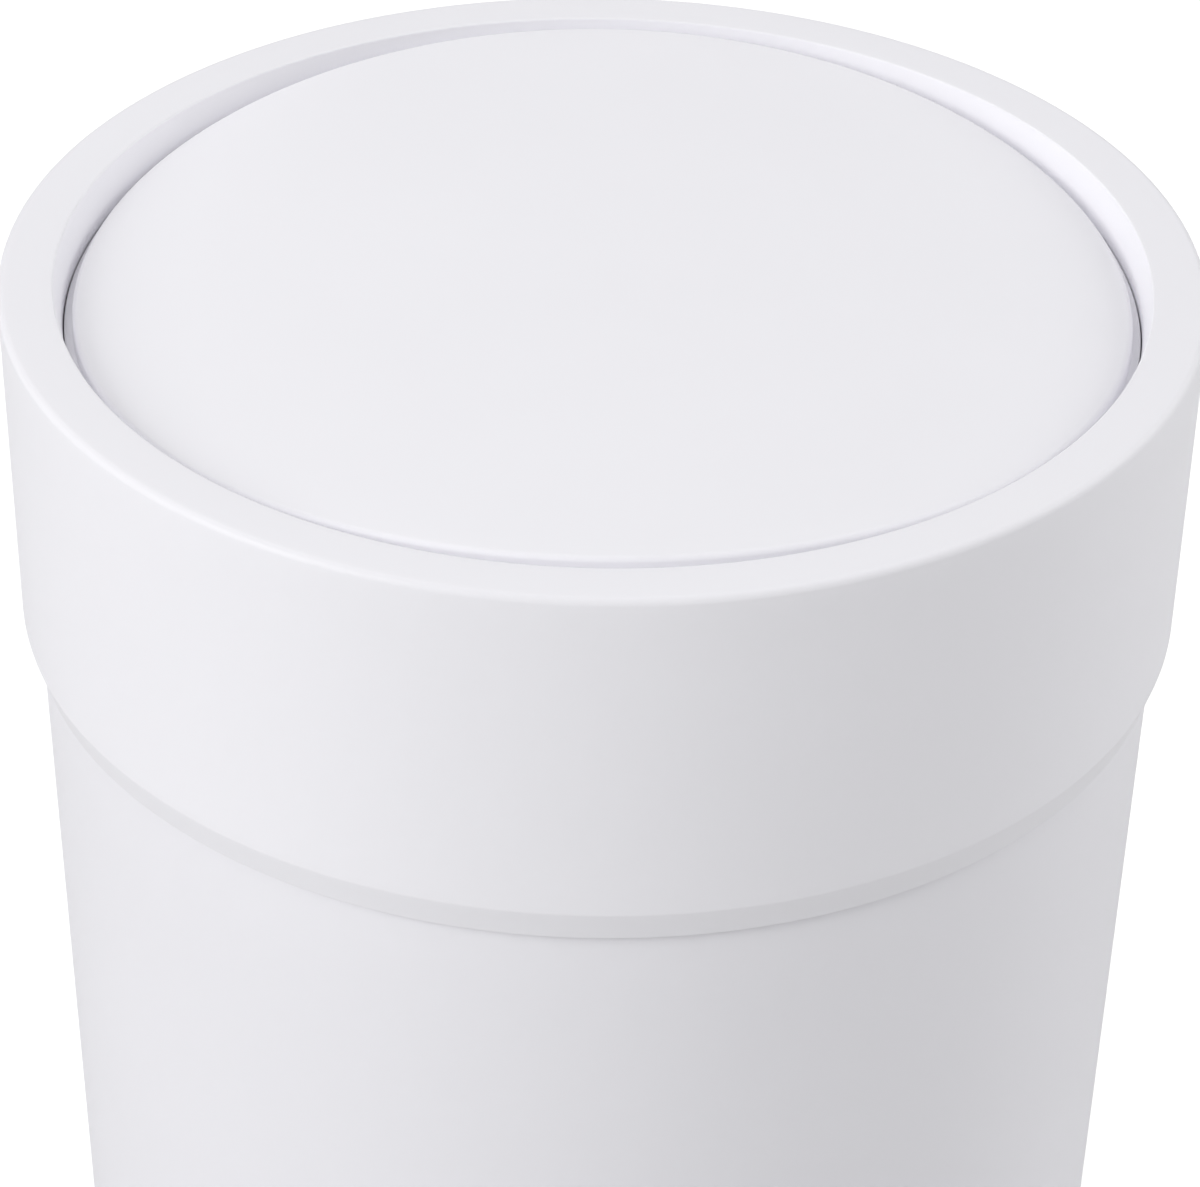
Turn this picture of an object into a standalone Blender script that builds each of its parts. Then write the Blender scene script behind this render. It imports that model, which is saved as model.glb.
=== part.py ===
"""Round swing-top wastebasket: tapered bin, lift-off collar and a counterweighted lid that swings on two pins.

Metres, +Z up. The origin is the centre of the foot ring, on the surface the bin stands on. The lid swings about an
axis along Y. The front of the bin faces -Y.
"""
import math

import bmesh
import bpy

MM = 0.001

# overall
RIM_Z = 290.0 * MM
RIM_R = 105.0 * MM
SEGMENTS = 72
FIT_GAP = 0.3 * MM

# bin
WALL = 2.0 * MM
BIN_TAPER = 0.03597
BIN_REF_R = 100.3 * MM
BIN_REF_Z = 221.3 * MM
BIN_TOP_Z = 264.0 * MM
NECK_R = 100.2 * MM
NECK_LOW_Z = 224.5 * MM
NECK_Z = 227.0 * MM
BIN_BEAD_T = 2.6 * MM
BIN_BEAD_DROP = 8.0 * MM
FLOOR_UNDER_Z = 2.2 * MM
FLOOR_T = 2.4 * MM
FOOT_RING_IN_R = 81.0 * MM
FOOT_ROUND = 3.0 * MM
BASE_BOSS_R = 12.0 * MM
BASE_RIB_T = 1.6 * MM
BASE_RIBS = 8

# collar
RIM_SHOULDER = 1.3 * MM
RIM_IN_ROUND = 0.4 * MM
RIM_IN_R = 95.3 * MM
THROAT_R = 94.0 * MM
THROAT_Z = 282.5 * MM
RIM_T = 2.2 * MM
COLLAR_INNER_T = 1.8 * MM
COLLAR_INNER_Z = 254.0 * MM
CREASE_R = 103.4 * MM
CREASE_Z = 227.2 * MM
LIP_R = 100.95 * MM
LIP_Z = 221.0 * MM
GUSSETS = 12
GUSSET_T = 1.6 * MM

# swing axis
PIVOT_Z = 278.0 * MM
PIN_R = 2.5 * MM
BUSH_R = 4.0 * MM
BUSH_FLANGE_R = 5.8 * MM
COLLAR_BOSS_R = 6.2 * MM
COLLAR_BOSS_Y = 99.3 * MM
STOP_OFFSET = 5.6 * MM
STOP_R = 1.1 * MM
STOP_DEG = 80.0

# lid
LID_R = 92.3 * MM
LID_TOP_Z = 289.8 * MM
LID_DROOP = 5.0 * MM
LID_ROUND = 1.0 * MM
LID_SKIN = 1.8 * MM
LID_IN_ROUND = 0.6 * MM
LEDGE_R = 93.4 * MM
LEDGE_SIDE = 0.4 * MM
LEDGE_Z = 287.0 * MM
LEDGE_T = 1.2 * MM
SKIRT_Z = 271.0 * MM
SKIRT_R = 92.1 * MM
PAN_R = 89.8 * MM
PAN_RIM_IN_R = 84.0 * MM
PAN_FLOOR_R = 64.0 * MM
PAN_FLOOR_Z = 261.0 * MM
PAN_T = 1.7 * MM
SCREW_PCR = 58.0 * MM
WEIGHT_X = 40.0 * MM
WEIGHT_Y = 90.0 * MM
WEIGHT_T = 2.5 * MM
WEIGHT_POST_Y = 32.0 * MM
WEIGHT_POST_R = 3.2 * MM


def clear_scene():
    for obj in list(bpy.data.objects):
        bpy.data.objects.remove(obj, do_unlink=True)


def material(name, color, roughness, metallic=0.0):
    mat = bpy.data.materials.new(name)
    mat.use_nodes = True
    shader = mat.node_tree.nodes["Principled BSDF"]
    shader.inputs["Base Color"].default_value = (*color, 1.0)
    shader.inputs["Roughness"].default_value = roughness
    shader.inputs["Metallic"].default_value = metallic
    return mat


def new_object(name, bm, mat=None, smooth_deg=35.0):
    bmesh.ops.recalc_face_normals(bm, faces=bm.faces)
    mesh = bpy.data.meshes.new(name)
    bm.to_mesh(mesh)
    bm.free()
    mesh.shade_smooth()
    mesh.set_sharp_from_angle(angle=math.radians(smooth_deg))
    obj = bpy.data.objects.new(name, mesh)
    bpy.context.scene.collection.objects.link(obj)
    if mat:
        mesh.materials.append(mat)
    return obj


def arc(cx, cz, radius, start, end, steps):
    """Points on an arc in the (r, z) plane, ends included, angles in degrees."""
    points = []
    for i in range(steps + 1):
        a = math.radians(start + (end - start) * i / steps)
        points.append((cx + radius * math.cos(a), cz + radius * math.sin(a)))
    return points


def turned(name, profile, mat=None, segments=SEGMENTS, lift=None, smooth_deg=35.0):
    """Closed solid turned about Z from a closed (r, z) profile; points at r = 0 become poles.

    lift(x, y, r, z) may return a changed z, for surfaces that aren't quite turned.
    """
    bm = bmesh.new()
    rings = []
    for r, z in profile:
        if r < 1e-9:
            rings.append([bm.verts.new((0.0, 0.0, z))])
            continue
        ring = []
        for i in range(segments):
            a = 2.0 * math.pi * i / segments
            x, y = r * math.cos(a), r * math.sin(a)
            ring.append(bm.verts.new((x, y, lift(x, y, r, z) if lift else z)))
        rings.append(ring)
    closed = len(rings[0]) > 1
    for k in range(len(rings) if closed else len(rings) - 1):
        low, high = rings[k], rings[(k + 1) % len(rings)]
        for i in range(segments):
            j = (i + 1) % segments
            corners = [low[i % len(low)], low[j % len(low)], high[j % len(high)], high[i % len(high)]]
            unique = [v for n, v in enumerate(corners) if v not in corners[:n]]
            bm.faces.new(unique)
    return new_object(name, bm, mat, smooth_deg)


def box(name, low, high, angle=0.0):
    """Axis-aligned box between two corners, then turned about Z by angle in degrees."""
    bm = bmesh.new()
    bmesh.ops.create_cube(bm, size=1.0)
    ca, sa = math.cos(math.radians(angle)), math.sin(math.radians(angle))
    for v in bm.verts:
        x, y, z = (low[i] + (v.co[i] + 0.5) * (high[i] - low[i]) for i in range(3))
        v.co = (x * ca - y * sa, x * sa + y * ca, z)
    return new_object(name, bm)


def rod_z(name, x, y, z0, z1, radius, segments=24):
    bm = bmesh.new()
    bmesh.ops.create_cone(bm, cap_ends=True, segments=segments, radius1=radius, radius2=radius, depth=z1 - z0)
    bmesh.ops.translate(bm, verts=bm.verts, vec=(x, y, 0.5 * (z0 + z1)))
    return new_object(name, bm)


def turned_y(name, profile, side, z, mat=None, segments=32, x=0.0):
    """Solid turned about a line along Y at height z, from (r, y) points; side is -1 in front and +1 behind."""
    obj = turned(name, profile, mat, segments)
    for v in obj.data.vertices:
        px, py, pz = v.co
        v.co = (x + px, side * pz, z - side * py)
    obj.data.update()
    return obj


def rod_y(name, x, z, y0, y1, radius, side, segments=24):
    return turned_y(name, [(0.0, y0), (radius, y0), (radius, y1), (0.0, y1)], side, z, None, segments, x)


def combine(target, tool, operation):
    modifier = target.modifiers.new(f"{operation.lower()} {tool.name}", "BOOLEAN")
    modifier.operation = operation
    modifier.solver = "EXACT"
    modifier.object = tool
    tool.hide_render = True
    tool.display_type = "WIRE"


def add(target, tool):
    combine(target, tool, "UNION")


def cut(target, tool):
    combine(target, tool, "DIFFERENCE")


def move_origin(obj, origin):
    """Put the object's origin on its joint without moving its surface."""
    for v in obj.data.vertices:
        v.co = (v.co[0] - origin[0], v.co[1] - origin[1], v.co[2] - origin[2])
    obj.location = origin


def bin_r(z):
    return BIN_REF_R + (z - BIN_REF_Z) * BIN_TAPER


def collar_out_r(z):
    top = RIM_Z - RIM_SHOULDER
    return CREASE_R + (z - CREASE_Z) / (top - CREASE_Z) * (RIM_R - CREASE_R)


def collar_in_r(z):
    """Radius of the collar's inner wall below its throat."""
    return THROAT_R + (THROAT_Z - z) / (THROAT_Z - COLLAR_INNER_Z) * (RIM_IN_R - THROAT_R)


def build_bin(mat):
    floor_z = FLOOR_UNDER_Z + FLOOR_T
    foot_r = bin_r(FOOT_ROUND) - FOOT_ROUND
    bead_mid = NECK_R - 0.5 * BIN_BEAD_T
    bead_z = BIN_TOP_Z - 0.5 * BIN_BEAD_T
    step_z = BIN_TOP_Z - BIN_BEAD_DROP
    corner = 5.0 * MM
    inner_low = bin_r(floor_z + corner) - WALL
    profile = [(0.0, FLOOR_UNDER_Z), (FOOT_RING_IN_R - 1.0 * MM, FLOOR_UNDER_Z), (FOOT_RING_IN_R, 0.0)]
    profile += arc(foot_r, FOOT_ROUND, FOOT_ROUND, -90.0, 0.0, 4)
    profile += [(bin_r(0.5 * NECK_Z), 0.5 * NECK_Z), (bin_r(NECK_LOW_Z), NECK_LOW_Z), (NECK_R, NECK_Z)]
    profile += arc(bead_mid, bead_z, 0.5 * BIN_BEAD_T, 0.0, 180.0, 6)
    profile += [(NECK_R - BIN_BEAD_T, step_z + 1.0 * MM), (NECK_R - WALL, step_z)]
    profile += [(bin_r(NECK_LOW_Z) - WALL, NECK_LOW_Z)]
    profile += arc(inner_low - corner, floor_z + corner, corner, 0.0, -90.0, 4)
    profile += [(0.0, floor_z)]
    body = turned("bin_body", profile, mat)
    add(body, rod_z("base_boss_tool", 0.0, 0.0, 0.0, 3.4 * MM, BASE_BOSS_R, 48))
    for i in range(BASE_RIBS):
        half = 0.5 * BASE_RIB_T
        rib = box(
            f"base_rib_tool_{i + 1}",
            (8.0 * MM, -half, 0.4 * MM),
            (FOOT_RING_IN_R + 2.0 * MM, half, 3.4 * MM),
            360.0 * i / BASE_RIBS,
        )
        add(body, rib)
    return body


def build_collar(mat):
    """Ring with a hollow rim; its inner wall narrows from the mouth to a throat, and widens again below it."""
    top_r = RIM_R - RIM_SHOULDER
    inner_t = COLLAR_INNER_T
    out_mid_z = 0.5 * (CREASE_Z + RIM_Z)
    groove_out_r = collar_out_r(RIM_Z - RIM_T) - WALL
    edge = 0.5 * MM
    profile = arc(RIM_IN_R + RIM_IN_ROUND, RIM_Z - RIM_IN_ROUND, RIM_IN_ROUND, 180.0, 90.0, 3)
    profile += arc(top_r, RIM_Z - RIM_SHOULDER, RIM_SHOULDER, 90.0, 0.0, 4)
    profile += [(collar_out_r(out_mid_z), out_mid_z)]
    profile += [(CREASE_R, CREASE_Z), (CREASE_R - 0.12 * MM, CREASE_Z - 0.4 * MM)]
    profile += [(LIP_R + 0.35 * MM, LIP_Z), (LIP_R, LIP_Z + 0.35 * MM)]
    profile += [(CREASE_R - WALL, CREASE_Z + 1.0 * MM), (groove_out_r, RIM_Z - RIM_T)]
    profile += [(RIM_IN_R + inner_t, RIM_Z - RIM_T), (THROAT_R + inner_t, THROAT_Z)]
    profile += [(RIM_IN_R + inner_t, COLLAR_INNER_Z + edge), (RIM_IN_R + inner_t - edge, COLLAR_INNER_Z)]
    profile += [(RIM_IN_R + edge, COLLAR_INNER_Z), (RIM_IN_R, COLLAR_INNER_Z + edge), (THROAT_R, THROAT_Z)]
    collar = turned("collar", profile, mat)
    for i in range(GUSSETS):
        half = 0.5 * GUSSET_T
        gusset = box(
            f"gusset_tool_{i + 1}",
            (THROAT_R + inner_t - 0.6 * MM, -half, BIN_TOP_Z + FIT_GAP),
            (collar_out_r(BIN_TOP_Z) - 0.9 * MM, half, RIM_Z - RIM_T + 0.9 * MM),
            360.0 * (i + 0.5) / GUSSETS,
        )
        add(collar, gusset)
    lug_turn = STOP_DEG + math.degrees(2.0 * math.asin((2.0 * STOP_R + 0.1 * MM) / (2.0 * STOP_OFFSET)))
    lug_x = STOP_OFFSET * math.sin(math.radians(lug_turn))
    lug_z = PIVOT_Z - STOP_OFFSET * math.cos(math.radians(lug_turn))
    for side, word in ((-1, "front"), (1, "rear")):
        boss_in = collar_in_r(PIVOT_Z) + 0.9 * MM
        add(collar, rod_y(f"{word}_boss_tool", 0.0, PIVOT_Z, boss_in, COLLAR_BOSS_Y, COLLAR_BOSS_R, side, 32))
        bore = BUSH_R + FIT_GAP
        cut(collar, rod_y(f"{word}_bore_tool", 0.0, PIVOT_Z, LID_R, COLLAR_BOSS_Y + 1.0 * MM, bore, side, 32))
        for sign, which in ((-1, "left"), (1, "right")):
            lug_in, lug_out = LID_R + FIT_GAP, collar_in_r(PIVOT_Z) + 0.8 * MM
            add(collar, rod_y(f"{word}_{which}_stop_tool", sign * lug_x, lug_z, lug_in, lug_out, STOP_R, side, 16))
    return collar


def droop(x, y, r, z):
    """The lid's skin falls away to the left and right of a ridge along Y; its lower edge stays level."""
    if z <= SKIRT_Z + 0.01 * MM:
        return z
    top_r = LID_R - LID_ROUND
    return z - LID_DROOP * (x / top_r) ** 2


def ledge_grow(x, y):
    """Factor that widens the ledge towards the left and right, where it lies lower and has more room to swing."""
    r = math.hypot(x, y)
    share = (r - LID_R) / (LEDGE_R - LID_R)
    return 1.0 + share * LEDGE_SIDE * (x / r) ** 2 / r if share > 0.0 else 1.0


def build_lid_cover(mat):
    top_r = LID_R - LID_ROUND
    arc_z = LID_TOP_Z - LID_ROUND
    profile = [(0.0, LID_TOP_Z)]
    profile += [(top_r * k / 5.0, LID_TOP_Z) for k in range(1, 5)]
    profile += arc(top_r, arc_z, LID_ROUND, 90.0, 0.0, 5)
    profile += [(LID_R, LEDGE_Z), (LEDGE_R, LEDGE_Z), (LEDGE_R, LEDGE_Z - LEDGE_T)]
    profile += [(0.5 * (LID_R + SKIRT_R), LEDGE_Z - 2.0 * LEDGE_T)]
    profile += [(SKIRT_R, SKIRT_Z), (SKIRT_R - LID_SKIN, SKIRT_Z)]
    inner_z = LID_TOP_Z - LID_SKIN - LID_IN_ROUND
    profile += arc(LID_R - LID_SKIN - LID_IN_ROUND, inner_z, LID_IN_ROUND, 0.0, 90.0, 3)
    profile += [(top_r * k / 5.0, LID_TOP_Z - LID_SKIN) for k in range(4, 0, -1)]
    profile += [(0.0, LID_TOP_Z - LID_SKIN)]
    cover = turned("lid_cover", profile, mat, lift=droop)
    for v in cover.data.vertices:
        grow = ledge_grow(v.co[0], v.co[1])
        v.co = (v.co[0] * grow, v.co[1] * grow, v.co[2])
    skin_mid = LID_TOP_Z - 0.5 * LID_SKIN
    for i, (x, y) in enumerate(screw_places()):
        boss_top = skin_mid - LID_DROOP * (x / top_r) ** 2
        add(cover, rod_z(f"cover_boss_tool_{i + 1}", x, y, 266.5 * MM, boss_top, 3.6 * MM))
        cut(cover, rod_z(f"cover_pilot_tool_{i + 1}", x, y, 265.0 * MM, 280.0 * MM, 1.6 * MM, 16))
    for side, word in ((-1, "front"), (1, "rear")):
        boss_end = SKIRT_R - 0.5 * LID_SKIN
        add(cover, rod_y(f"{word}_pin_boss_tool", 0.0, PIVOT_Z, 79.0 * MM, boss_end, 5.0 * MM, side, 32))
        web = box(
            f"{word}_web_tool",
            (-1.0 * MM, 79.6 * MM, PIVOT_Z + 3.0 * MM),
            (1.0 * MM, 89.0 * MM, skin_mid),
            180.0 if side < 0 else 0.0,
        )
        add(cover, web)
        bore = PIN_R + FIT_GAP
        cut(cover, rod_y(f"{word}_pin_bore_tool", 0.0, PIVOT_Z, 80.5 * MM, LID_R + 1.0 * MM, bore, side, 32))
        peg_z = PIVOT_Z - STOP_OFFSET
        peg_in, peg_out = SKIRT_R - 0.8 * MM, THROAT_R - FIT_GAP
        add(cover, rod_y(f"{word}_peg_tool", 0.0, peg_z, peg_in, peg_out, STOP_R, side, 16))
    return cover


def screw_places():
    return [(SCREW_PCR * math.cos(math.radians(a)), SCREW_PCR * math.sin(math.radians(a))) for a in (45, 135, 225, 315)]


def pan_profile():
    rise = SKIRT_Z - PAN_FLOOR_Z
    slope = []
    steps = 5
    for i in range(steps + 1):
        t = i / steps
        r = PAN_FLOOR_R + (PAN_RIM_IN_R - PAN_FLOOR_R) * t
        slope.append((r, PAN_FLOOR_Z + rise * 0.5 * (1.0 - math.cos(math.pi * t))))
    under = [(0.0, PAN_FLOOR_Z)] + slope + [(PAN_R, SKIRT_Z)]
    upper = [(r, z + PAN_T) for r, z in reversed(under)]
    return under + upper


def build_lid_pan(mat):
    pan = turned("lid_pan", pan_profile(), mat)
    floor_in = PAN_FLOOR_Z + PAN_T
    for i, (x, y) in enumerate(screw_places()):
        add(pan, rod_z(f"cup_tool_{i + 1}", x, y, PAN_FLOOR_Z + 0.6 * MM, 266.2 * MM, 5.2 * MM))
        cut(pan, rod_z(f"counterbore_tool_{i + 1}", x, y, PAN_FLOOR_Z - 1.0 * MM, 263.6 * MM, 3.5 * MM))
        cut(pan, rod_z(f"through_tool_{i + 1}", x, y, 263.0 * MM, 267.0 * MM, 1.75 * MM, 16))
    for side in (-1, 1):
        y = side * WEIGHT_POST_Y
        word = "front" if side < 0 else "rear"
        post_top = floor_in + WEIGHT_T + FIT_GAP
        add(pan, rod_z(f"{word}_post_tool", 0.0, y, PAN_FLOOR_Z + 0.8 * MM, post_top, WEIGHT_POST_R))
        cut(pan, rod_z(f"{word}_post_pilot_tool", 0.0, y, PAN_FLOOR_Z + 0.9 * MM, post_top + 1.0 * MM, 1.6 * MM, 16))
    return pan


def build_weight(mat):
    """Flat bar with rounded corners and two holes, laid over the pan's posts."""
    z0 = PAN_FLOOR_Z + PAN_T + FIT_GAP
    corner = 5.0 * MM
    bm = bmesh.new()
    outline = []
    for cx, cy, start in ((1, 1, 0), (-1, 1, 90), (-1, -1, 180), (1, -1, 270)):
        for i in range(6):
            a = math.radians(start + 90.0 * i / 5)
            x = cx * (0.5 * WEIGHT_X - corner) + corner * math.cos(a)
            y = cy * (0.5 * WEIGHT_Y - corner) + corner * math.sin(a)
            outline.append(bm.verts.new((x, y, z0)))
    face = bm.faces.new(outline)
    top = bmesh.ops.extrude_face_region(bm, geom=[face])
    raised = [v for v in top["geom"] if isinstance(v, bmesh.types.BMVert)]
    bmesh.ops.translate(bm, verts=raised, vec=(0.0, 0.0, WEIGHT_T))
    weight = new_object("lid_counterweight", bm, mat)
    for side in (-1, 1):
        word = "front" if side < 0 else "rear"
        hole_r = WEIGHT_POST_R + FIT_GAP
        hole = rod_z(f"{word}_weight_hole_tool", 0.0, side * WEIGHT_POST_Y, z0 - 1 * MM, z0 + 5 * MM, hole_r)
        cut(weight, hole)
    return weight


def build_screw(name, x, y, seat_z, head_r, head_t, length, up, mat):
    """Cross-recessed pan-head screw whose head rests on seat_z; up is +1 when it is driven from below."""
    thread_r = 1.3 * MM
    tip = 1.2 * MM
    edge = 0.5 * MM
    profile = [
        (0.0, seat_z - up * head_t),
        (head_r - edge, seat_z - up * head_t),
        (head_r, seat_z - up * (head_t - edge)),
        (head_r, seat_z),
        (thread_r, seat_z),
        (thread_r, seat_z + up * (length - tip)),
        (0.4 * MM, seat_z + up * length),
        (0.0, seat_z + up * length),
    ]
    screw = turned(name, profile, mat, 16)
    for v in screw.data.vertices:
        v.co = (v.co[0] + x, v.co[1] + y, v.co[2])
    arm = 1.7 * MM
    slot = 0.35 * MM
    z_out = seat_z - up * (head_t + 1.0 * MM)
    z_in = seat_z - up * 0.7 * MM
    low_z, high_z = min(z_out, z_in), max(z_out, z_in)
    cut(screw, box(f"{name}_slot_x_tool", (x - arm, y - slot, low_z), (x + arm, y + slot, high_z)))
    cut(screw, box(f"{name}_slot_y_tool", (x - slot, y - arm, low_z), (x + slot, y + arm, high_z)))
    return screw


def build_bush(name, side, mat):
    flange_in = COLLAR_BOSS_Y + FIT_GAP
    flange_out = flange_in + 0.8 * MM
    bore = PIN_R + FIT_GAP
    sleeve_in = THROAT_R - 2.0 * FIT_GAP
    profile = [
        (bore, sleeve_in),
        (BUSH_R, sleeve_in),
        (BUSH_R, flange_in),
        (BUSH_FLANGE_R, flange_in),
        (BUSH_FLANGE_R, flange_out),
        (bore, flange_out),
    ]
    return turned_y(name, profile, side, PIVOT_Z, mat)


def build_pin(name, side, mat):
    head_in = COLLAR_BOSS_Y + 2.0 * FIT_GAP + 0.8 * MM
    head_out = head_in + 1.2 * MM
    head_r = 4.4 * MM
    inner = 81.0 * MM
    profile = [
        (0.0, inner),
        (PIN_R - 0.6 * MM, inner),
        (PIN_R, inner + 0.8 * MM),
        (PIN_R, head_in),
        (head_r, head_in),
        (head_r, head_out - 0.4 * MM),
        (head_r - 0.4 * MM, head_out),
        (0.0, head_out),
    ]
    return turned_y(name, profile, side, PIVOT_Z, mat)


def main():
    clear_scene()
    white = (0.885, 0.882, 0.905)
    bin_plastic = material("bin white plastic", white, 0.42)
    collar_plastic = material("collar white plastic", white, 0.40)
    cover_plastic = material("lid white plastic", white, 0.38)
    pan_plastic = material("pan white plastic", (0.87, 0.868, 0.885), 0.45)
    acetal = material("natural acetal", (0.88, 0.87, 0.82), 0.30)
    steel = material("zinc plated steel", (0.62, 0.63, 0.65), 0.35, 1.0)
    plate = material("plain steel plate", (0.42, 0.43, 0.45), 0.45, 1.0)

    build_bin(bin_plastic)
    collar = build_collar(collar_plastic)
    move_origin(collar, (0.0, 0.0, LIP_Z))
    collar_pieces = [collar]
    lid_pieces = [build_lid_cover(cover_plastic), build_lid_pan(pan_plastic), build_weight(plate)]
    for side, word in ((-1, "front"), (1, "rear")):
        collar_pieces.append(build_bush(f"{word}_pivot_bush", side, acetal))
        lid_pieces.append(build_pin(f"{word}_pivot_pin", side, steel))
        post_top = PAN_FLOOR_Z + PAN_T + WEIGHT_T + 2.0 * FIT_GAP
        y = side * WEIGHT_POST_Y
        name = f"{word}_weight_screw"
        lid_pieces.append(build_screw(name, 0.0, y, post_top, 5.0 * MM, 1.7 * MM, 3.6 * MM, -1, steel))
    for i, (x, y) in enumerate(screw_places()):
        name = f"pan_screw_{i + 1}"
        lid_pieces.append(build_screw(name, x, y, 263.3 * MM, 3.0 * MM, 1.9 * MM, 15.5 * MM, 1, steel))
    for piece in collar_pieces[1:]:
        move_origin(piece, (0.0, 0.0, LIP_Z))
    for piece in lid_pieces:
        move_origin(piece, (0.0, 0.0, PIVOT_Z))


main()
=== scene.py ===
"""Round white swing-top wastebasket: fine surfaces, materials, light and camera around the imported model.

Metres, +Z up, in the model's own frame. The lid swings about an axis along Y and the front faces -Y.
"""
import math

import bmesh
import bpy
from mathutils import Matrix, Vector


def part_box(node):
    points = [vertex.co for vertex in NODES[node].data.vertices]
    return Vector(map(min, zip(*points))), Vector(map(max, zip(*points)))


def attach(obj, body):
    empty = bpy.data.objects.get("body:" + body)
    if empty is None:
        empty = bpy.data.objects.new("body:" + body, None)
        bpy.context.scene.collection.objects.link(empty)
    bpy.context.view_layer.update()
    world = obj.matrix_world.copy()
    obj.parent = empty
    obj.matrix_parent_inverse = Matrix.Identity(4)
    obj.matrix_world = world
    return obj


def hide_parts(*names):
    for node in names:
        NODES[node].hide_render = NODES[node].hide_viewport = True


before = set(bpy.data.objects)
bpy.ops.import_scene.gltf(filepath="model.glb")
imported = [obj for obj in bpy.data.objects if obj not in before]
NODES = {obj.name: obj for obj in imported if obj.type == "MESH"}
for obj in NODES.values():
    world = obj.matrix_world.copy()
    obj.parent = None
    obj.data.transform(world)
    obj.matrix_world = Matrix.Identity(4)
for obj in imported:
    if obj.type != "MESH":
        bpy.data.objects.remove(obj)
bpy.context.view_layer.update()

MM = 0.001

# ---------------------------------------------------------------- sizes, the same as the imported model's
PAN_T = 1.7 * MM
RIM_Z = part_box("collar")[1].z
RIM_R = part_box("collar")[1].x
LIP_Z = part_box("collar")[0].z
BIN_TOP_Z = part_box("bin_body")[1].z
SKIRT_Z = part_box("lid_pan")[1].z - PAN_T
PAN_FLOOR_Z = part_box("lid_pan")[0].z
PIVOT_Z = 0.5 * (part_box("front_pivot_bush")[0].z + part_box("front_pivot_bush")[1].z)

FIT_GAP = 0.3 * MM
OVERLAP = 1.0 * MM  # how far a cutting tool runs past the face it cuts

WALL = 2.0 * MM
BIN_TAPER = 0.03597
BIN_REF_R = 100.3 * MM
BIN_REF_Z = 221.3 * MM
FLOOR_UNDER_Z = 2.2 * MM
FLOOR_T = 2.4 * MM
FOOT_RING_IN_R = 81.0 * MM
FOOT_ROUND = 3.0 * MM
BASE_BOSS_R = 12.0 * MM
BASE_BOSS_EDGE = 0.4 * MM
BASE_RIBS = 8
BASE_RIB_T = 1.6 * MM
BASE_RIB_IN_R = 8.0 * MM
BASE_RIB_LOW_Z = 0.4 * MM
BASE_TOP_Z = 3.4 * MM  # the ribs and the boss end inside the bin's floor
BIN_CORNER = 5.0 * MM
FLOOR_PAD_IN_R = 20.0 * MM
FLOOR_PAD_OUT_R = 60.0 * MM
FLOOR_PAD_RISE = 0.15 * MM
GATE_R = 2.2 * MM
GATE_RISE = 0.4 * MM
GATE_DIMPLE_R = 3.0 * MM
GATE_DIMPLE = 0.5 * MM
NECK_R = 100.2 * MM
NECK_LOW_Z = 224.5 * MM
NECK_Z = 227.0 * MM
BIN_BEAD_T = 2.6 * MM
BIN_BEAD_DROP = 8.0 * MM

RIM_SHOULDER = 1.3 * MM
RIM_IN_ROUND = 0.4 * MM
RIM_IN_R = 95.3 * MM
THROAT_R = 94.0 * MM
THROAT_Z = 282.5 * MM
RIM_T = 2.2 * MM
COLLAR_INNER_T = 1.8 * MM
COLLAR_INNER_Z = 254.0 * MM
CREASE_R = 103.4 * MM
CREASE_Z = 227.2 * MM
CREASE_BEND = 0.2 * MM
LIP_R = 100.95 * MM
LIP_ROUND = 0.3 * MM
COLLAR_FOOT_EDGE = 0.5 * MM
GROOVE_CORNER = 0.6 * MM
GUSSETS = 12
GUSSET_T = 1.6 * MM

PIN_R = 2.5 * MM
BUSH_R = 4.0 * MM
COLLAR_BOSS_R = 6.2 * MM
COLLAR_BOSS_Y = 99.3 * MM
STOP_OFFSET = 5.6 * MM
STOP_R = 1.1 * MM
STOP_DEG = 80.0
STOP_SLACK = 0.1 * MM

LID_R = 92.3 * MM
LID_TOP_Z = 289.8 * MM
LID_DROOP = 5.0 * MM
LID_ROUND = 1.0 * MM
LID_SKIN = 1.8 * MM
LID_IN_ROUND = 0.6 * MM
LEDGE_R = 93.4 * MM
LEDGE_SIDE = 0.4 * MM
LEDGE_Z = 287.0 * MM
LEDGE_T = 1.2 * MM
LEDGE_ROUND = 0.25 * MM
SKIRT_R = 92.1 * MM
SKIRT_EDGE = 0.3 * MM
PIN_BOSS_R = 5.0 * MM
PIN_BOSS_Y = 79.0 * MM
PIN_BORE_Y = 80.5 * MM
WEB_T = 2.0 * MM
WEB_IN_Y, WEB_OUT_Y = 79.6 * MM, 89.0 * MM
WEB_RISE = 3.0 * MM
COVER_BOSS_R = 3.6 * MM
COVER_BOSS_Z = 266.5 * MM
PILOT_R = 1.6 * MM
PILOT_LOW_Z, PILOT_TOP_Z = 265.0 * MM, 280.0 * MM
PAN_R = 89.8 * MM
PAN_RIM_IN_R = 84.0 * MM
PAN_FLOOR_R = 64.0 * MM
PAN_EDGE = 0.25 * MM
SCREW_PCR = 58.0 * MM
CUP_R = 5.2 * MM
CUP_TOP_Z = 266.2 * MM
COUNTERBORE_R = 3.5 * MM
COUNTERBORE_TOP_Z = 263.6 * MM
COUNTERBORE_FLARE = 0.35 * MM
COUNTERBORE_FLARE_R = 3.9 * MM
SCREW_HOLE_R = 1.75 * MM
SCREW_HOLE_LOW_Z, SCREW_HOLE_TOP_Z = 263.0 * MM, 267.0 * MM
WEIGHT_T = 2.5 * MM
WEIGHT_POST_Y = 32.0 * MM
WEIGHT_POST_R = 3.2 * MM

SEGMENTS = 288
BOSS_SEGMENTS = 64
SMALL_SEGMENTS = 48
HOLE_SEGMENTS = 32
PEG_SEGMENTS = 24
SHARP_DEG = 32.0


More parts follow.
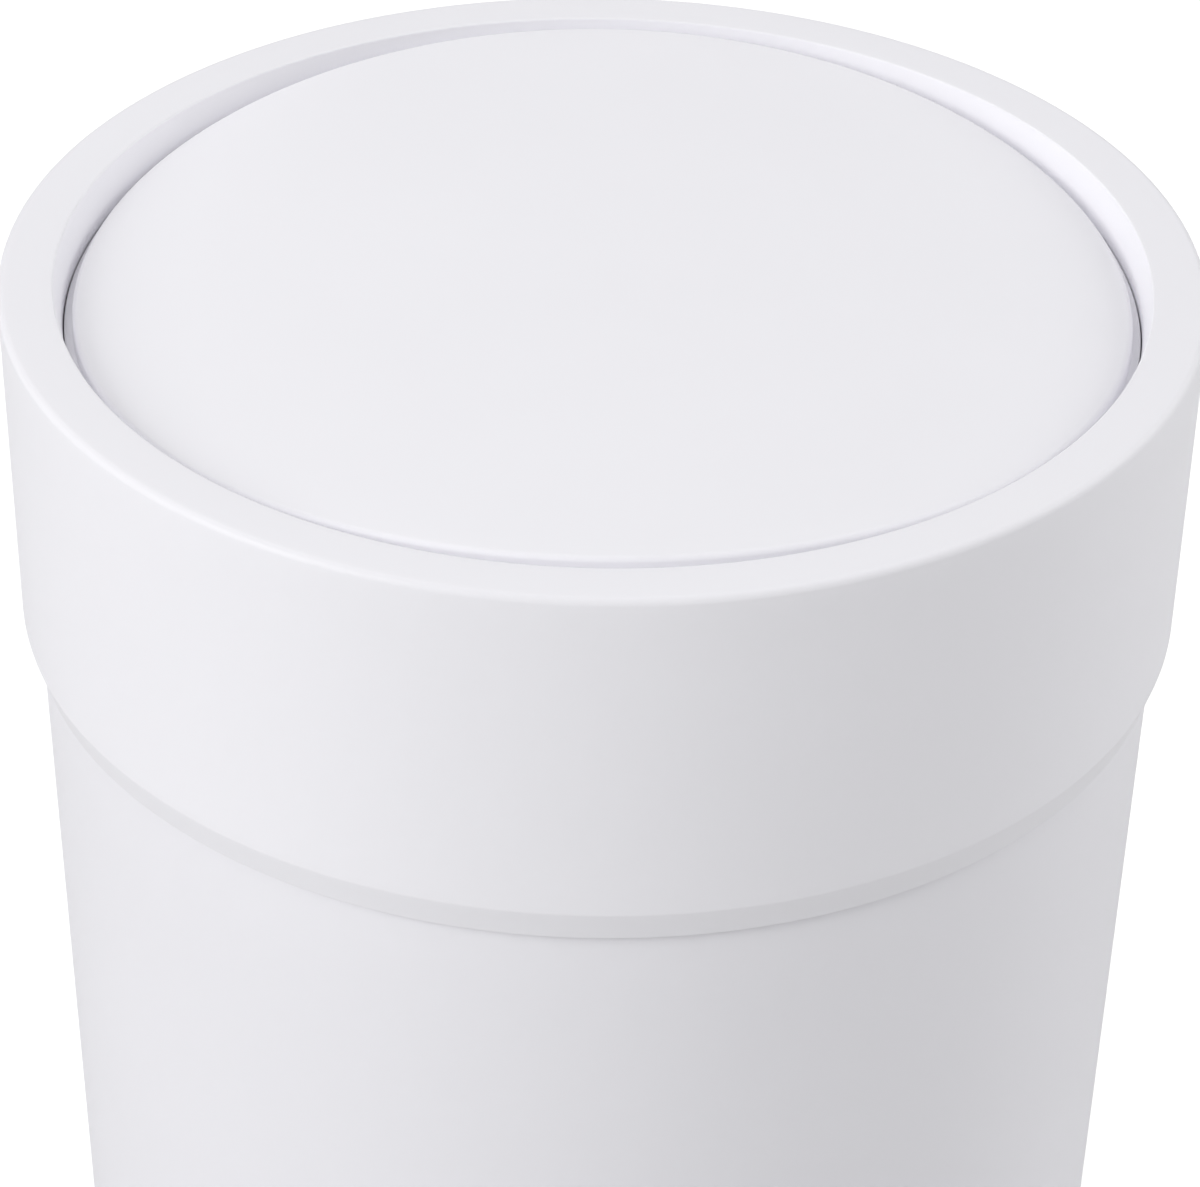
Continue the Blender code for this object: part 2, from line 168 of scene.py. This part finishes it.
# ---------------------------------------------------------------- mesh helpers
def shade(mesh):
    mesh.shade_smooth()
    mesh.set_sharp_from_angle(angle=math.radians(SHARP_DEG))


def mesh_object(name, bm):
    bmesh.ops.recalc_face_normals(bm, faces=bm.faces)
    mesh = bpy.data.meshes.new(name)
    bm.to_mesh(mesh)
    bm.free()
    shade(mesh)
    obj = bpy.data.objects.new(name, mesh)
    bpy.context.scene.collection.objects.link(obj)
    return obj


def arc(cx, cz, radius, start, end, steps):
    """Points on an arc in the (r, z) plane, ends included, angles in degrees."""
    points = []
    for i in range(steps + 1):
        a = math.radians(start + (end - start) * i / steps)
        points.append((cx + radius * math.cos(a), cz + radius * math.sin(a)))
    return points


def line(a, b, steps):
    """Points from a towards b, a included and b left out."""
    return [(a[0] + (b[0] - a[0]) * i / steps, a[1] + (b[1] - a[1]) * i / steps) for i in range(steps)]


def lathe(bm, profile, segments=SEGMENTS, place=None, lift=None):
    """Adds a closed solid turned about Z to bm, from (r, z) points; a point at r = 0 becomes a pole.

    lift(x, y, z) may return a changed z, for a surface that isn't quite turned; place(x, y, z) moves it.
    """
    rings = []
    for r, z in profile:
        ring = []
        for i in range(1 if r < 1e-9 else segments):
            a = 2.0 * math.pi * i / segments
            x, y = r * math.cos(a), r * math.sin(a)
            co = (x, y, lift(x, y, z) if lift else z)
            ring.append(bm.verts.new(place(*co) if place else co))
        rings.append(ring)
    closed = len(rings[0]) > 1
    for k in range(len(rings) if closed else len(rings) - 1):
        low, high = rings[k], rings[(k + 1) % len(rings)]
        for i in range(segments):
            j = (i + 1) % segments
            corners = [low[i % len(low)], low[j % len(low)], high[j % len(high)], high[i % len(high)]]
            bm.faces.new([v for n, v in enumerate(corners) if v not in corners[:n]])


def across(side, z, x=0.0):
    """Places a turned shape along Y: its own axis runs outward on one side."""
    return lambda px, py, pz: (x + px, side * pz, z - side * py)


def upright(x, y):
    """Places a turned shape at (x, y), with its axis along Z."""
    return lambda px, py, pz: (x + px, y + py, pz)


def soft_box(bm, low, high, angle=0.0, bevel=0.35 * MM):
    """Adds a box with rounded edges between two corners, turned about Z by angle in degrees."""
    made = bmesh.ops.create_cube(bm, size=1.0)["verts"]
    for v in made:
        v.co = [low[i] + (v.co[i] + 0.5) * (high[i] - low[i]) for i in range(3)]
    edges = list({e for v in made for e in v.link_edges})
    out = bmesh.ops.bevel(bm, geom=edges, offset=bevel, segments=2, affect="EDGES", profile=0.5)
    verts = {v for f in out["faces"] for v in f.verts}
    turn = Matrix.Rotation(math.radians(angle), 3, "Z")
    bmesh.ops.rotate(bm, verts=list(verts), cent=(0, 0, 0), matrix=turn)


def post(bm, x, y, z0, z1, radius, segments=SMALL_SEGMENTS):
    """Adds a plain cylinder along Z."""
    lathe(bm, [(0.0, z0), (radius, z0), (radius, z1), (0.0, z1)], segments, upright(x, y))


def rod(bm, side, y0, y1, radius, z=PIVOT_Z, x=0.0, segments=SMALL_SEGMENTS):
    """Adds a plain cylinder along Y on one side, from y0 out to y1."""
    lathe(bm, [(0.0, y0), (radius, y0), (radius, y1), (0.0, y1)], segments, across(side, z, x))


def combine(obj, steps):
    """Joins or cuts obj: a step is "UNION" or "DIFFERENCE" and a function that fills a bmesh."""
    tools = []
    for operation, fill in steps:
        bm = bmesh.new()
        fill(bm)
        tool = mesh_object(f"{obj.name}_tool_{len(tools)}", bm)
        modifier = obj.modifiers.new(tool.name, "BOOLEAN")
        modifier.operation = operation
        modifier.solver = "EXACT"
        modifier.object = tool
        tools.append(tool)
    graph = bpy.context.evaluated_depsgraph_get()
    mesh = bpy.data.meshes.new_from_object(obj.evaluated_get(graph))
    obj.modifiers.clear()
    old, obj.data = obj.data, mesh
    bpy.data.meshes.remove(old)
    for tool in tools:
        bpy.data.meshes.remove(tool.data)
    mesh.name = obj.name
    shade(mesh)
    return obj


# ---------------------------------------------------------------- the moulded pieces
def bin_r(z):
    return BIN_REF_R + (z - BIN_REF_Z) * BIN_TAPER


def collar_out_r(z):
    top = RIM_Z - RIM_SHOULDER
    return CREASE_R + (z - CREASE_Z) / (top - CREASE_Z) * (RIM_R - CREASE_R)


def bin_profile():
    floor_z = FLOOR_UNDER_Z + FLOOR_T
    foot_r = bin_r(FOOT_ROUND) - FOOT_ROUND
    bead_mid = NECK_R - 0.5 * BIN_BEAD_T
    bead_z = BIN_TOP_Z - 0.5 * BIN_BEAD_T
    step_z = BIN_TOP_Z - BIN_BEAD_DROP
    corner_z = floor_z + BIN_CORNER
    inner_low = bin_r(corner_z) - WALL
    pad_z = floor_z + FLOOR_PAD_RISE
    gate_z = floor_z + GATE_RISE
    profile = [(0.0, FLOOR_UNDER_Z), (FOOT_RING_IN_R - 1.0 * MM, FLOOR_UNDER_Z)]
    profile += [(FOOT_RING_IN_R - 0.15 * MM, 0.25 * MM), (FOOT_RING_IN_R + 0.1 * MM, 0.0)]
    profile += arc(foot_r, FOOT_ROUND, FOOT_ROUND, -90.0, 0.0, 12)
    profile += line((bin_r(FOOT_ROUND), FOOT_ROUND), (bin_r(NECK_LOW_Z), NECK_LOW_Z), 10)[1:]
    profile += [(bin_r(NECK_LOW_Z), NECK_LOW_Z)]
    profile += [(NECK_R + 0.05 * MM, NECK_Z - 0.6 * MM), (NECK_R, NECK_Z + 0.4 * MM)]
    profile += arc(bead_mid, bead_z, 0.5 * BIN_BEAD_T, 0.0, 180.0, 16)
    profile += [(NECK_R - BIN_BEAD_T, step_z + 1.0 * MM), (NECK_R - WALL, step_z)]
    profile += line((bin_r(NECK_LOW_Z) - WALL, NECK_LOW_Z), (inner_low, corner_z), 10)
    profile += arc(inner_low - BIN_CORNER, corner_z, BIN_CORNER, 0.0, -90.0, 12)
    profile += [(FLOOR_PAD_OUT_R, floor_z), (FLOOR_PAD_OUT_R - 0.4 * MM, pad_z)]
    profile += [(FLOOR_PAD_IN_R, pad_z), (GATE_R, pad_z), (GATE_R - 0.3 * MM, gate_z), (0.0, gate_z)]
    return profile


def make_bin():
    bm = bmesh.new()
    lathe(bm, bin_profile())
    shell = mesh_object("bin_shell", bm)

    def base(bm):
        profile = [(0.0, 0.0), (BASE_BOSS_R - BASE_BOSS_EDGE, 0.0), (BASE_BOSS_R, BASE_BOSS_EDGE)]
        lathe(bm, profile + [(BASE_BOSS_R, BASE_TOP_Z), (0.0, BASE_TOP_Z)], 96)

    def rib_pair(angle):
        low = (BASE_RIB_IN_R, -0.5 * BASE_RIB_T, BASE_RIB_LOW_Z)
        high = (FOOT_RING_IN_R + 2.0 * MM, 0.5 * BASE_RIB_T, BASE_TOP_Z)

        def fill(bm):
            for turn in (angle, angle + 180.0):
                soft_box(bm, low, high, turn, 0.3 * MM)
        return fill

    def dimple(bm):
        profile = [(0.0, -OVERLAP), (GATE_DIMPLE_R, -OVERLAP), (GATE_DIMPLE_R, 0.0)]
        lathe(bm, profile + [(GATE_R, GATE_DIMPLE), (0.0, GATE_DIMPLE)], SMALL_SEGMENTS)

    ribs = [("UNION", rib_pair(360.0 * k / BASE_RIBS)) for k in range(BASE_RIBS // 2)]
    return combine(shell, [("UNION", base)] + ribs + [("DIFFERENCE", dimple)])


def collar_in_r(z):
    """Radius of the collar's inner wall below its throat."""
    return THROAT_R + (THROAT_Z - z) / (THROAT_Z - COLLAR_INNER_Z) * (RIM_IN_R - THROAT_R)


def collar_profile():
    top_r = RIM_R - RIM_SHOULDER
    groove_z = RIM_Z - RIM_T
    out_r = collar_out_r(groove_z) - WALL
    edge = COLLAR_FOOT_EDGE
    profile = arc(RIM_IN_R + RIM_IN_ROUND, RIM_Z - RIM_IN_ROUND, RIM_IN_ROUND, 180.0, 90.0, 10)
    profile += line((RIM_IN_R + RIM_IN_ROUND, RIM_Z), (top_r, RIM_Z), 4)[1:]
    profile += arc(top_r, RIM_Z - RIM_SHOULDER, RIM_SHOULDER, 90.0, 0.0, 12)
    shoulder_end = (RIM_R, RIM_Z - RIM_SHOULDER)
    profile += line(shoulder_end, on_wall(CREASE_BEND), 12)[1:]
    profile += crease()
    profile += arc(LIP_R + LIP_ROUND, LIP_Z + LIP_ROUND, LIP_ROUND, -60.0, -180.0, 6)
    profile += [(CREASE_R - WALL, CREASE_Z + 1.0 * MM)]
    profile += [(out_r, groove_z - GROOVE_CORNER), (out_r - GROOVE_CORNER, groove_z)]
    profile += [(RIM_IN_R + COLLAR_INNER_T, groove_z), (THROAT_R + COLLAR_INNER_T, THROAT_Z)]
    profile += arc(RIM_IN_R + COLLAR_INNER_T - edge, COLLAR_INNER_Z + edge, edge, 0.0, -90.0, 5)
    profile += arc(RIM_IN_R + edge, COLLAR_INNER_Z + edge, edge, -90.0, -180.0, 5)
    profile += line((RIM_IN_R, COLLAR_INNER_Z + edge), (THROAT_R, THROAT_Z), 6)[1:]
    profile += line((THROAT_R, THROAT_Z), (RIM_IN_R, RIM_Z - RIM_IN_ROUND), 6)
    return profile


def on_wall(rise):
    """Point on the collar's outer wall, rise above the crease."""
    return collar_out_r(CREASE_Z + rise), CREASE_Z + rise


def crease(steps=8):
    """Tight bend from the collar's wall into its chamfer: a quadratic curve around their corner."""
    lip = (LIP_R + LIP_ROUND, LIP_Z)
    start, corner = on_wall(CREASE_BEND), on_wall(-CREASE_BEND)
    share = 2.0 * CREASE_BEND / (corner[1] - LIP_Z)
    end = [corner[k] + (lip[k] - corner[k]) * share for k in (0, 1)]
    points = []
    for i in range(steps + 1):
        t = i / steps
        a, b, c = (1.0 - t) ** 2, 2.0 * t * (1.0 - t), t * t
        points.append(tuple(a * start[k] + b * corner[k] + c * end[k] for k in (0, 1)))
    return points


def make_collar():
    bm = bmesh.new()
    lathe(bm, collar_profile())
    collar = mesh_object("collar_shell", bm)
    low = (THROAT_R + COLLAR_INNER_T - 0.3 * MM, -0.5 * GUSSET_T, BIN_TOP_Z + FIT_GAP)
    high = (collar_out_r(BIN_TOP_Z) - 0.9 * MM, 0.5 * GUSSET_T, RIM_Z - RIM_T + 0.9 * MM)
    inner_r = collar_in_r(PIVOT_Z)

    def gussets(bm):
        for i in range(GUSSETS):
            soft_box(bm, low, high, 360.0 * (i + 0.5) / GUSSETS, 0.3 * MM)

    def bosses(bm):
        for side in (-1, 1):
            rod(bm, side, inner_r + 0.9 * MM, COLLAR_BOSS_Y, COLLAR_BOSS_R, segments=BOSS_SEGMENTS)

    def bores(bm):
        for side in (-1, 1):
            rod(bm, side, LID_R, COLLAR_BOSS_Y + OVERLAP, BUSH_R + FIT_GAP, segments=BOSS_SEGMENTS)

    def lugs(bm):
        turn = math.radians(STOP_DEG) + 2.0 * math.asin((STOP_R + 0.5 * STOP_SLACK) / STOP_OFFSET)
        for side in (-1, 1):
            for sign in (-1, 1):
                x, z = sign * STOP_OFFSET * math.sin(turn), PIVOT_Z - STOP_OFFSET * math.cos(turn)
                rod(bm, side, LID_R + FIT_GAP, inner_r + 0.8 * MM, STOP_R, z, x, PEG_SEGMENTS)

    steps = [("UNION", gussets), ("UNION", bosses), ("DIFFERENCE", bores), ("UNION", lugs)]
    return combine(collar, steps)


def skin_drop(x):
    """How far the lid's skin lies below its ridge."""
    return LID_DROOP * (x / (LID_R - LID_ROUND)) ** 2


def droop(x, y, z):
    """The lid's skin and ledge fall away from a ridge along Y; its lower edge stays level."""
    weight = min(1.0, max(0.0, (z - SKIRT_Z) / (LEDGE_Z - 2.0 * LEDGE_T - SKIRT_Z)))
    return z - weight * skin_drop(x)


def ledge_grow(x, y):
    """Factor that widens the ledge to the left and right, where it lies lower and has more room to swing."""
    r = math.hypot(x, y)
    share = (r - LID_R) / (LEDGE_R - LID_R)
    return 1.0 + share * LEDGE_SIDE * (x / r) ** 2 / r if share > 0.0 else 1.0


def cover_profile():
    top_r = LID_R - LID_ROUND
    arc_z = LID_TOP_Z - LID_ROUND
    profile = [(0.0, LID_TOP_Z)] + line((0.0, LID_TOP_Z), (top_r, LID_TOP_Z), 22)[1:]
    profile += arc(top_r, arc_z, LID_ROUND, 90.0, 0.0, 16)
    soft = LEDGE_ROUND
    profile += [(LID_R, LEDGE_Z + soft), (LID_R + 0.3 * soft, LEDGE_Z + 0.3 * soft), (LID_R + soft, LEDGE_Z)]
    profile += arc(LEDGE_R - soft, LEDGE_Z - soft, soft, 90.0, 0.0, 4)
    profile += [(LEDGE_R, LEDGE_Z - LEDGE_T)]
    profile += line((0.5 * (LID_R + SKIRT_R), LEDGE_Z - 2.0 * LEDGE_T), (SKIRT_R, SKIRT_Z + SKIRT_EDGE), 6)
    profile += arc(SKIRT_R - SKIRT_EDGE, SKIRT_Z + SKIRT_EDGE, SKIRT_EDGE, 0.0, -90.0, 4)
    profile += [(SKIRT_R - LID_SKIN, SKIRT_Z)]
    inner_r = LID_R - LID_SKIN
    profile += arc(inner_r - LID_IN_ROUND, LID_TOP_Z - LID_SKIN - LID_IN_ROUND, LID_IN_ROUND, 0.0, 90.0, 6)
    profile += line((inner_r - LID_IN_ROUND, LID_TOP_Z - LID_SKIN), (0.0, LID_TOP_Z - LID_SKIN), 10)[1:]
    profile += [(0.0, LID_TOP_Z - LID_SKIN)]
    return profile


def screw_places():
    turns = [math.radians(a) for a in (45.0, 135.0, 225.0, 315.0)]
    return [(SCREW_PCR * math.cos(a), SCREW_PCR * math.sin(a)) for a in turns]


def make_cover():
    bm = bmesh.new()
    lathe(bm, cover_profile(), lift=droop)
    for v in bm.verts:
        grow = ledge_grow(v.co.x, v.co.y)
        v.co = (v.co.x * grow, v.co.y * grow, v.co.z)
    cover = mesh_object("lid_top_shell", bm)
    skin_mid = LID_TOP_Z - 0.5 * LID_SKIN

    def bosses(bm):
        for x, y in screw_places():
            post(bm, x, y, COVER_BOSS_Z, skin_mid - skin_drop(x), COVER_BOSS_R)

    def pin_bosses(bm):
        for side in (-1, 1):
            rod(bm, side, PIN_BOSS_Y, SKIRT_R - 0.5 * LID_SKIN, PIN_BOSS_R, segments=BOSS_SEGMENTS)

    def webs(bm):
        low = (-0.5 * WEB_T, WEB_IN_Y, PIVOT_Z + WEB_RISE)
        high = (0.5 * WEB_T, WEB_OUT_Y, skin_mid)
        for side in (-1, 1):
            soft_box(bm, low, high, 90.0 - 90.0 * side)

    def holes(bm):
        for x, y in screw_places():
            post(bm, x, y, PILOT_LOW_Z, PILOT_TOP_Z, PILOT_R, HOLE_SEGMENTS)
        for side in (-1, 1):
            rod(bm, side, PIN_BORE_Y, LID_R + OVERLAP, PIN_R + FIT_GAP)

    def pegs(bm):
        peg_z = PIVOT_Z - STOP_OFFSET
        for side in (-1, 1):
            rod(bm, side, SKIRT_R - 0.8 * MM, THROAT_R - FIT_GAP, STOP_R, peg_z, 0.0, PEG_SEGMENTS)

    joined = [("UNION", bosses), ("UNION", pin_bosses), ("UNION", webs)]
    return combine(cover, joined + [("DIFFERENCE", holes), ("UNION", pegs)])


def pan_profile(steps=24):
    rise = SKIRT_Z - PAN_FLOOR_Z
    slope = []
    for i in range(steps + 1):
        t = i / steps
        r = PAN_FLOOR_R + (PAN_RIM_IN_R - PAN_FLOOR_R) * t
        slope.append((r, PAN_FLOOR_Z + rise * 0.5 * (1.0 - math.cos(math.pi * t))))
    under = line((0.0, PAN_FLOOR_Z), (PAN_FLOOR_R, PAN_FLOOR_Z), 4) + slope
    upper = [(r, z + PAN_T) for r, z in reversed(under)]
    low_rim = [(PAN_R - PAN_EDGE, SKIRT_Z), (PAN_R, SKIRT_Z + PAN_EDGE)]
    high_rim = [(PAN_R, SKIRT_Z + PAN_T - PAN_EDGE), (PAN_R - PAN_EDGE, SKIRT_Z + PAN_T)]
    return under + low_rim + high_rim + upper


def make_pan():
    bm = bmesh.new()
    lathe(bm, pan_profile())
    pan = mesh_object("lid_underside", bm)
    post_top = PAN_FLOOR_Z + PAN_T + WEIGHT_T + FIT_GAP

    def cups(bm):
        for x, y in screw_places():
            post(bm, x, y, PAN_FLOOR_Z + 0.6 * MM, CUP_TOP_Z, CUP_R)
        for y in (-WEIGHT_POST_Y, WEIGHT_POST_Y):
            post(bm, 0.0, y, PAN_FLOOR_Z + 0.8 * MM, post_top, WEIGHT_POST_R)

    def counterbores(bm):
        low, top = PAN_FLOOR_Z - OVERLAP, COUNTERBORE_TOP_Z
        profile = [(0.0, low), (COUNTERBORE_FLARE_R, low), (COUNTERBORE_FLARE_R, PAN_FLOOR_Z)]
        profile += [(COUNTERBORE_R, PAN_FLOOR_Z + COUNTERBORE_FLARE), (COUNTERBORE_R, top), (0.0, top)]
        for x, y in screw_places():
            lathe(bm, profile, SMALL_SEGMENTS, upright(x, y))

    def pilots(bm):
        for x, y in screw_places():
            post(bm, x, y, SCREW_HOLE_LOW_Z, SCREW_HOLE_TOP_Z, SCREW_HOLE_R, HOLE_SEGMENTS)
        for y in (-WEIGHT_POST_Y, WEIGHT_POST_Y):
            post(bm, 0.0, y, PAN_FLOOR_Z + 0.9 * MM, post_top + OVERLAP, PILOT_R, HOLE_SEGMENTS)

    return combine(pan, [("UNION", cups), ("DIFFERENCE", counterbores), ("DIFFERENCE", pilots)])


# ---------------------------------------------------------------- materials
def node(tree, kind, **values):
    made = tree.nodes.new(kind)
    for key, value in values.items():
        setattr(made, key, value)
    return made


def noise(tree, vector, scale, detail=2.0, rough=0.5):
    """Noise from 0 to 1; scale is in waves a metre."""
    made = node(tree, "ShaderNodeTexNoise")
    made.inputs["Scale"].default_value = scale
    made.inputs["Detail"].default_value = detail
    made.inputs["Roughness"].default_value = rough
    tree.links.new(vector, made.inputs["Vector"])
    return made.outputs["Fac"]


def span(tree, value, low, high, from_low=0.3, from_high=0.7):
    """Stretches a noise's middle range over low to high."""
    made = node(tree, "ShaderNodeMapRange", clamp=True)
    made.inputs["From Min"].default_value = from_low
    made.inputs["From Max"].default_value = from_high
    made.inputs["To Min"].default_value = low
    made.inputs["To Max"].default_value = high
    tree.links.new(value, made.inputs["Value"])
    return made.outputs["Result"]


def bump(tree, height, strength, distance, normal=None):
    made = node(tree, "ShaderNodeBump")
    made.inputs["Strength"].default_value = strength
    made.inputs["Distance"].default_value = distance
    tree.links.new(height, made.inputs["Height"])
    if normal:
        tree.links.new(normal, made.inputs["Normal"])
    return made.outputs["Normal"]


def mix_color(tree, factor, a, b):
    made = node(tree, "ShaderNodeMix", data_type="RGBA")
    for socket, value in ((made.inputs["Factor"], factor), (made.inputs[6], a), (made.inputs[7], b)):
        if isinstance(value, tuple):
            socket.default_value = (*value, 1.0)
        else:
            tree.links.new(value, socket)
    return made.outputs[2]


def new_material(name):
    mat = bpy.data.materials.new(name)
    mat.use_nodes = True
    tree = mat.node_tree
    shader = tree.nodes["Principled BSDF"]
    coords = node(tree, "ShaderNodeTexCoord").outputs["Object"]
    return mat, tree, shader, coords


def plastic(name, color, rough, grain=0.12, subsurface=0.0):
    """Satin injection-moulded plastic: fine eroded grain, slow waves of sink and cloudy gloss."""
    mat, tree, shader, coords = new_material(name)
    slow = noise(tree, coords, 14.0, 3.0)
    darker = tuple(c * 0.985 for c in color)
    base = mix_color(tree, span(tree, slow, 0.0, 1.0), color, darker)
    tree.links.new(base, shader.inputs["Base Color"])
    streak = noise(tree, coords, 240.0, 3.0, 0.6)
    tree.links.new(span(tree, streak, rough - 0.035, rough + 0.035), shader.inputs["Roughness"])
    fine = noise(tree, coords, 3200.0, 2.0, 0.6)
    waves = noise(tree, coords, 30.0, 1.0)
    normal = bump(tree, waves, 0.10, 0.25 * MM)
    normal = bump(tree, fine, grain, 0.05 * MM, normal)
    tree.links.new(normal, shader.inputs["Normal"])
    shader.inputs["IOR"].default_value = 1.49
    shader.inputs["Specular IOR Level"].default_value = 0.35
    shader.inputs["Subsurface Weight"].default_value = subsurface
    shader.inputs["Subsurface Radius"].default_value = (1.0, 0.97, 0.94)
    shader.inputs["Subsurface Scale"].default_value = 2.5 * MM
    return mat


def metal(name, color, rough, stretch=(1.0, 1.0, 12.0)):
    """Zinc-plated or plain steel with fine drawn scratches and cloudy plating."""
    mat, tree, shader, coords = new_material(name)
    mapping = node(tree, "ShaderNodeMapping")
    mapping.inputs["Scale"].default_value = stretch
    tree.links.new(coords, mapping.inputs["Vector"])
    cloud = noise(tree, coords, 160.0, 4.0)
    lines = noise(tree, mapping.outputs["Vector"], 900.0, 3.0, 0.6)
    darker = tuple(c * 0.78 for c in color)
    base = mix_color(tree, span(tree, cloud, 0.0, 1.0), color, darker)
    tree.links.new(base, shader.inputs["Base Color"])
    tree.links.new(span(tree, lines, rough - 0.08, rough + 0.1), shader.inputs["Roughness"])
    tree.links.new(bump(tree, lines, 0.25, 0.02 * MM), shader.inputs["Normal"])
    shader.inputs["Metallic"].default_value = 1.0
    return mat


def give(obj, mat):
    obj.data.materials.clear()
    obj.data.materials.append(mat)


# ---------------------------------------------------------------- build
WHITE = (0.937, 0.930, 0.968)
COLLAR_WHITE = (0.926, 0.919, 0.957)
BIN_WHITE = (0.893, 0.886, 0.925)
mat_bin = plastic("satin_white_bin", BIN_WHITE, 0.42)
mat_collar = plastic("satin_white_collar", COLLAR_WHITE, 0.44)
mat_lid = plastic("satin_white_lid", WHITE, 0.44)
mat_pan = plastic("satin_white_pan", BIN_WHITE, 0.45, grain=0.2)
mat_acetal = plastic("natural_acetal", (0.86, 0.84, 0.78), 0.3, grain=0.05, subsurface=0.2)
mat_zinc = metal("zinc_plated_steel", (0.66, 0.67, 0.69), 0.32)
mat_plate = metal("plain_steel_plate", (0.42, 0.43, 0.45), 0.42, (1.0, 10.0, 1.0))

for maker, cad_node, body, slot, mat in (
    (make_bin, "bin_body", "bin", "bin_plastic", mat_bin),
    (make_collar, "collar", "collar", "collar_plastic", mat_collar),
    (make_cover, "lid_cover", "lid", "lid_plastic", mat_lid),
    (make_pan, "lid_pan", "lid", "pan_plastic", mat_pan),
):
    piece = maker()
    give(piece, mat)
    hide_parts(cad_node)
    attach(piece, body)

for cad_node, obj in NODES.items():
    if "bush" in cad_node:
        give(obj, mat_acetal)
    elif "pin" in cad_node or "screw" in cad_node:
        give(obj, mat_zinc)
    elif cad_node == "lid_counterweight":
        give(obj, mat_plate)


# ---------------------------------------------------------------- stage, light and camera
def make_floor():
    bm = bmesh.new()
    bmesh.ops.create_grid(bm, x_segments=8, y_segments=8, size=FLOOR_HALF)
    floor = mesh_object("studio_floor", bm)
    floor.location.z = -FLOOR_DROP
    mat, tree, shader, coords = new_material("pale_floor")
    cloud = noise(tree, coords, 3.0, 3.0)
    pale = mix_color(tree, cloud, (0.59, 0.59, 0.59), (0.61, 0.61, 0.61))
    tree.links.new(pale, shader.inputs["Base Color"])
    shader.inputs["Roughness"].default_value = 0.8
    shader.inputs["Specular IOR Level"].default_value = 0.1
    shader.inputs["Emission Color"].default_value = (1.0, 1.0, 1.0, 1.0)
    shader.inputs["Emission Strength"].default_value = FLOOR_GLOW
    give(floor, mat)
    # the floor's glow whitens the floor alone and throws no light up at the bin
    only_floor = bpy.data.collections.new("lit_by_the_floor")
    only_floor.objects.link(floor)
    floor.light_linking.receiver_collection = only_floor


def softbox(name, azimuth, elevation, power):
    """Square area light aimed at the collar; azimuth 0 is in front (-Y) and grows to the right (+X)."""
    data = bpy.data.lights.new(name, "AREA")
    data.shape = "RECTANGLE"
    data.size = data.size_y = LIGHT_SIZE
    data.energy = power
    lamp = bpy.data.objects.new(name, data)
    bpy.context.scene.collection.objects.link(lamp)
    a, e = math.radians(azimuth), math.radians(elevation)
    away = Vector((math.sin(a) * math.cos(e), -math.cos(a) * math.cos(e), math.sin(e)))
    lamp.location = Vector((0.0, 0.0, LIGHT_TARGET_Z)) + away * LIGHT_DISTANCE
    lamp.rotation_euler = away.to_track_quat("Z", "Y").to_euler()


FLOOR_HALF = 30.0
FLOOR_DROP = 0.2 * MM  # keeps the floor clear of the foot's own plane
FLOOR_GLOW = 0.55
WORLD_LEVEL = 0.26
LIGHT_SIZE = 2.8
LIGHT_DISTANCE = 4.5
LIGHT_TARGET_Z = 0.24
LIGHTS = (
    ("key_left", -60.0, 25.0, 103.0),
    ("left_rear", -120.0, 25.0, 11.5),
    ("front_fill", 15.0, 25.0, 13.5),
    ("right_side", 90.0, 25.0, 39.5),
    ("right_rear", 120.0, 25.0, 53.0),
    ("high_front_left", -30.0, 50.0, 27.5),
    ("high_front_right", 30.0, 50.0, 12.0),
    ("high_rear_left", -150.0, 50.0, 37.5),
)

make_floor()
for entry in LIGHTS:
    softbox(*entry)

world = bpy.data.worlds.new("studio_world")
bpy.context.scene.world = world
world.use_nodes = True
background = world.node_tree.nodes["Background"]
background.inputs["Color"].default_value = (1.0, 1.0, 1.0, 1.0)
background.inputs["Strength"].default_value = WORLD_LEVEL

scene = bpy.context.scene
scene.view_settings.view_transform = "Standard"
scene.view_settings.look = "None"

# the camera looks down at the rim from in front, through a long lens
VIEW_ELEVATION = math.radians(33.27)
VIEW_ROLL = math.radians(1.08)
VIEW_LENS = 156.8
VIEW_OFFSET = (0.0059, 0.5374, -8.658)  # the rim's centre as the camera sees it, in rim radii

camera_data = bpy.data.cameras.new("camera")
camera_data.lens = VIEW_LENS
camera_data.sensor_width = 36.0
camera_data.clip_start, camera_data.clip_end = 0.01, 100.0
camera = bpy.data.objects.new("camera", camera_data)
scene.collection.objects.link(camera)
scene.camera = camera
tilt = Matrix.Rotation(math.pi / 2 - VIEW_ELEVATION, 3, "X") @ Matrix.Rotation(VIEW_ROLL, 3, "Z")
rim_centre = Vector((0.0, 0.0, RIM_Z))
camera.matrix_world = Matrix.Translation(rim_centre - tilt @ (Vector(VIEW_OFFSET) * RIM_R)) @ tilt.to_4x4()
